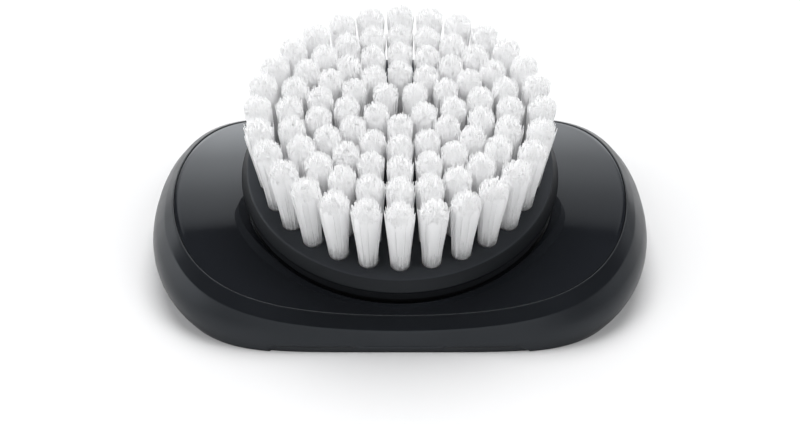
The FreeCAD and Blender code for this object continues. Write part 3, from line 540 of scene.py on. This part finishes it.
def plate_plastic(name):
    """The plate's plastic: a painted grey sheen on the grained top, and a plainer bevel below it, darkened
    with painted shade.
    """
    material = plastic(name, dark=(0.031, 0.0335, 0.038), light=(0.038, 0.041, 0.0465), roughness=0.4,
                       specular=0.3)
    tree = material.node_tree
    shader = tree.nodes["Principled BSDF"]
    painted_sheen_colour = shader.inputs["Base Color"].links[0].from_socket
    place = tree.nodes.new("ShaderNodeTexCoord")
    height = tree.nodes.new("ShaderNodeVectorMath")
    height.operation = "DOT_PRODUCT"
    height.inputs[1].default_value = DISC_AXIS.tolist()
    tree.links.new(place.outputs["Object"], height.inputs[0])
    top = float(DISC_CENTRE @ DISC_AXIS) * MM
    # Painted sheen: a lighter colour on the flat top, fading into painted shade on the bevel below.
    painted_sheen_mask = spread(tree, height.outputs["Value"], 0.0, 1.0, top - PAINTED_SHEEN_GONE * MM, top - PAINTED_SHEEN_FADES * MM)
    mix = tree.nodes.new("ShaderNodeMix")
    mix.data_type = "RGBA"
    mix.inputs["A"].default_value = (*BEVEL_PAINTED_SHADE, 1)
    tree.links.new(painted_sheen_mask, mix.inputs["Factor"])
    tree.links.new(painted_sheen_colour, mix.inputs["B"])
    tree.links.new(mix.outputs["Result"], shader.inputs["Base Color"])
    return material


def gloss_black(name):
    """Polished black: a faint orange peel, and hairline scuffs that only change the gloss."""
    material, tree, shader = new_material(name, (0.0095, 0.0107, 0.0132), 0.03, tint_of_gloss=COOL_GLOSS)
    mottle = noise(tree, scale=90, detail=2)
    tint(tree, shader, mottle, dark=(0.0088, 0.0098, 0.0121), light=(0.0104, 0.0117, 0.0144))
    scuff = noise(tree, scale=900, detail=6, rough=0.7, stretch=(1, 6, 1))
    gloss = spread(tree, scuff, low=0.02, high=0.045, start=0.45, end=0.8)
    tree.links.new(gloss, shader.inputs["Roughness"])
    bump(tree, shader, noise(tree, scale=240, detail=1), 0.02, RELIEF)
    return material


def nylon(name):
    """White filaments: each has its own shade, with faint streaks along it."""
    material, tree, shader = new_material(name, (0.84, 0.845, 0.85), 0.45, specular=0.35)
    island = tree.nodes.new("ShaderNodeNewGeometry").outputs["Random Per Island"]
    tint(tree, shader, island, dark=(0.94, 0.94, 0.945), light=(0.99, 0.99, 0.995), start=0.0, end=1.0)
    shader.inputs["Subsurface Weight"].default_value = 0.15
    shader.inputs["Subsurface Radius"].default_value = (1, 1, 1)
    shader.inputs["Subsurface Scale"].default_value = 0.0003
    streak = noise(tree, scale=3000, detail=2, stretch=(1, 1, 0.08))
    tree.links.new(spread(tree, streak, low=0.36, high=0.56), shader.inputs["Roughness"])
    bump(tree, shader, streak, 0.1, 1.5 * RELIEF)
    return material


def metal(name, dark, light, roughness):
    """Machined metal with fine brushing."""
    material, tree, shader = new_material(name, light, roughness, metallic=1.0)
    brushing = noise(tree, scale=2600, detail=4, rough=0.6, stretch=(1, 1, 12))
    tint(tree, shader, brushing, dark, light)
    tree.links.new(spread(tree, brushing, roughness * 0.7, roughness * 1.3), shader.inputs["Roughness"])
    bump(tree, shader, brushing, 0.15, RELIEF)
    return material


def dress(thing, material):
    """Gives the object this one material."""
    thing.data.materials.clear()
    thing.data.materials.append(material)


# ---- build ------------------------------------------------------------------------------------
PLATE_SHARP_ANGLE = math.radians(25)


def build_shell(turns):
    """The skirt, in the place of the CAD shell."""
    shell = turned_mesh("shell_skirt", [shell_chain(turn) for turn in turns])
    dress(shell, plastic("satin_charcoal", dark=(0.0082, 0.0092, 0.0112), light=(0.0105, 0.0117, 0.0142),
                         roughness=0.33, specular=0.4))
    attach(shell, "housing")
    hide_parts("housing_shell")


def build_cover(turns):
    """The glossy cover, in the place of the CAD cover."""
    cover = turned_mesh("saddle_cover", [cover_chain(turn) for turn in turns])
    dress(cover, gloss_black("gloss_black"))
    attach(cover, "housing")
    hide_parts("top_cover")


def build_plate():
    """The plate with its holes, in the place of the CAD plate."""
    plate = object_from("bristle_plate", *plate_mesh())
    plate.data.set_sharp_from_angle(angle=PLATE_SHARP_ANGLE)
    # The plate's material carries a painted sheen on its top and painted shade on its bevel.
    dress(plate, plate_plastic("satin_black_painted_sheen"))
    plate.visible_glossy = False
    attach(plate, "brush_head")
    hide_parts("tuft_plate")


def build_tufts():
    """The tufts with their filaments, one object for each ring, in the place of the CAD tufts."""
    filament_finish = nylon("white_nylon")
    for ring in RINGS:
        tufts = object_from(f"filaments_ring_{ring}", *tuft_ring_mesh(ring))
        dress(tufts, filament_finish)
        tufts.visible_glossy = False
        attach(tufts, "brush_head")
        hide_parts(f"tufts_ring_{ring}")


def finish_nodes():
    """Materials for the CAD nodes that stay."""
    inner = plastic("moulded_black", (0.011, 0.0113, 0.012), (0.015, 0.0155, 0.0165), 0.5, 5000, 0.2)
    carrier = plastic("carrier_black", (0.015, 0.0162, 0.0185), (0.019, 0.0205, 0.0235), 0.4)
    acetal = plastic("natural_acetal", (0.5, 0.49, 0.45), (0.62, 0.61, 0.57), 0.42, 4000, 0.1)
    rubber = plastic("seal_rubber", (0.012, 0.012, 0.012), (0.02, 0.02, 0.02), 0.7, 3000, 0.3)
    steel = metal("stainless_steel", (0.5, 0.5, 0.5), (0.62, 0.62, 0.63), 0.28)
    zinc = metal("zinc_plate", (0.42, 0.42, 0.43), (0.56, 0.56, 0.58), 0.35)
    brass = metal("turned_brass", (0.55, 0.38, 0.16), (0.7, 0.52, 0.26), 0.3)
    finishes = {
        "turret": inner, "chassis": inner, "brush_carrier": carrier, "shaft_seal": rubber,
        "drive_hub": acetal, "drive_lever": acetal, "drive_slider": acetal, "upper_bush": acetal,
        "lower_bush": acetal, "thrust_washer": acetal, "drive_spindle": steel, "slider_post": steel,
        "head_snap_ring": steel, "spindle_circlip": steel, "slider_keeper_left": steel,
        "slider_keeper_right": steel, "chassis_screws": zinc, "turret_screws": zinc, "keeper_screws": zinc,
        "pin_socket_insert": brass, "tuft_anchors": brass,
    }
    for node, finish in finishes.items():
        dress(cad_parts[node], finish)


# ---- studio -----------------------------------------------------------------------------------
CAMERA_TARGET = Vector((0, 0, 2.84 * MM))
CAMERA_DISTANCE = 142.6 * MM
CAMERA_ELEVATION = math.radians(34)
CAMERA_LENS, CAMERA_SENSOR = 56.25, 36
CAMERA_CLIP = 0.005


def add_camera():
    """A camera in front of the object and above it."""
    data = bpy.data.cameras.new("camera")
    data.lens = CAMERA_LENS
    data.sensor_width = CAMERA_SENSOR
    data.clip_start = CAMERA_CLIP
    camera = bpy.data.objects.new("camera", data)
    bpy.context.scene.collection.objects.link(camera)
    offset = Vector((0, -math.cos(CAMERA_ELEVATION), math.sin(CAMERA_ELEVATION))) * CAMERA_DISTANCE
    camera.location = CAMERA_TARGET + offset
    camera.rotation_euler = (-offset).to_track_quat("-Z", "Y").to_euler()
    bpy.context.scene.camera = camera


FLOOR_REACH, FLOOR_HEIGHT = 3.0, -0.02 * MM


def add_floor():
    """A wide pale floor, a hair below the object's foot."""
    mesh = bpy.data.meshes.new("floor")
    signs = ((-1, -1), (1, -1), (1, 1), (-1, 1))
    corners = [(FLOOR_REACH * x, FLOOR_REACH * y, FLOOR_HEIGHT) for x, y in signs]
    mesh.from_pydata(corners, [], [[0, 1, 2, 3]])
    floor = bpy.data.objects.new("floor", mesh)
    bpy.context.scene.collection.objects.link(floor)
    material, tree, shader = new_material("pale_floor", (0.72, 0.72, 0.725), 0.85, specular=0.1)
    tint(tree, shader, noise(tree, scale=6, detail=3), dark=(0.71, 0.71, 0.715), light=(0.73, 0.73, 0.735))
    dress(floor, material)


# Name, place, width and power of each softbox; all of them face the origin.
SOFTBOXES = (
    ("left_softbox", (-0.75, -0.25, 0.8), 0.6, 3.1),
    ("right_softbox", (0.75, -0.25, 0.8), 0.6, 4.1),
    ("rear_softbox", (0, 0.45, 0.85), 0.7, 9.4),
)


def add_softbox(name, place, width, power):
    """A square light that isn't seen in reflections."""
    data = bpy.data.lights.new(name, "AREA")
    data.shape = "RECTANGLE"
    data.size = data.size_y = width
    data.energy = power
    light = bpy.data.objects.new(name, data)
    bpy.context.scene.collection.objects.link(light)
    light.location = place
    light.visible_glossy = False
    light.rotation_euler = (-Vector(place)).to_track_quat("-Z", "Y").to_euler()


SURROUND_STRENGTH = 3.5
# Elevation in degrees and brightness of the surround, from the floor upwards.
SURROUND = (
    (0, 0.36), (15, 0.46), (29.5, 1.0), (31, 0.49), (32.5, 0.24), (33.9, 0.11), (34.1, 0.008), (90, 0.007),
)
# Direction cosine along X and brightness of the surround, from left to right.
SURROUND_ACROSS = (
    (-1, 1.3), (-0.6, 0.45), (-0.35, 0.75), (-0.15, 0.85), (0, 1.1),
    (0.15, 1.35), (0.3, 0.9), (0.45, 0.3), (0.7, 0.22), (1, 0.6),
)
# Brightness of the surround at the front and at the rear.
SURROUND_ALONG = (0.6, 1.0)
# Red, green and blue of its slightly cool white.
SURROUND_WHITE = (0.98, 0.99, 1.0)


def brightness_ramp(tree, value, stops):
    """Brightness, slightly cool, between stops of position and level."""
    ramp = tree.nodes.new("ShaderNodeValToRGB")
    elements = ramp.color_ramp.elements
    elements[1].position = 1.0
    for position, _ in stops[1:-1]:
        elements.new(position)
    for element, (_, level) in zip(elements, stops):
        element.color = (*(level * share for share in SURROUND_WHITE), 1)
    tree.links.new(value, ramp.inputs["Fac"])
    return ramp.outputs["Color"]


def add_world():
    """A surround that is bright up to a sharp upper edge and dark above it, and brighter at the rear."""
    world = bpy.data.worlds.new("surround")
    bpy.context.scene.world = world
    world.use_nodes = True
    tree = world.node_tree
    background = tree.nodes["Background"]
    place = tree.nodes.new("ShaderNodeTexCoord")
    split = tree.nodes.new("ShaderNodeSeparateXYZ")
    tree.links.new(place.outputs["Generated"], split.inputs["Vector"])
    upwards = [(math.sin(math.radians(elevation)), level) for elevation, level in SURROUND]
    ramp = brightness_ramp(tree, split.outputs["Z"], upwards)
    sideways = spread(tree, split.outputs["X"], 0.0, 1.0, -1, 1)
    across = brightness_ramp(tree, sideways, [((x + 1) / 2, level) for x, level in SURROUND_ACROSS])
    along = spread(tree, split.outputs["Y"], *SURROUND_ALONG, -1, 1)
    product = tree.nodes.new("ShaderNodeMath")
    product.operation = "MULTIPLY"
    tree.links.new(across, product.inputs[0])
    tree.links.new(along, product.inputs[1])
    strength = tree.nodes.new("ShaderNodeMath")
    strength.operation = "MULTIPLY"
    strength.inputs[1].default_value = SURROUND_STRENGTH
    tree.links.new(product.outputs["Value"], strength.inputs[0])
    tree.links.new(ramp, background.inputs["Color"])
    tree.links.new(strength.outputs["Value"], background.inputs["Strength"])


def add_studio():
    """Camera, floor, surround and lights."""
    add_camera()
    add_floor()
    add_world()
    for softbox in SOFTBOXES:
        add_softbox(*softbox)
    bpy.context.scene.view_settings.view_transform = "Standard"


outline_steps = outline_turns()
build_shell(outline_steps)
build_cover(outline_steps)
build_plate()
build_tufts()
finish_nodes()
add_studio()
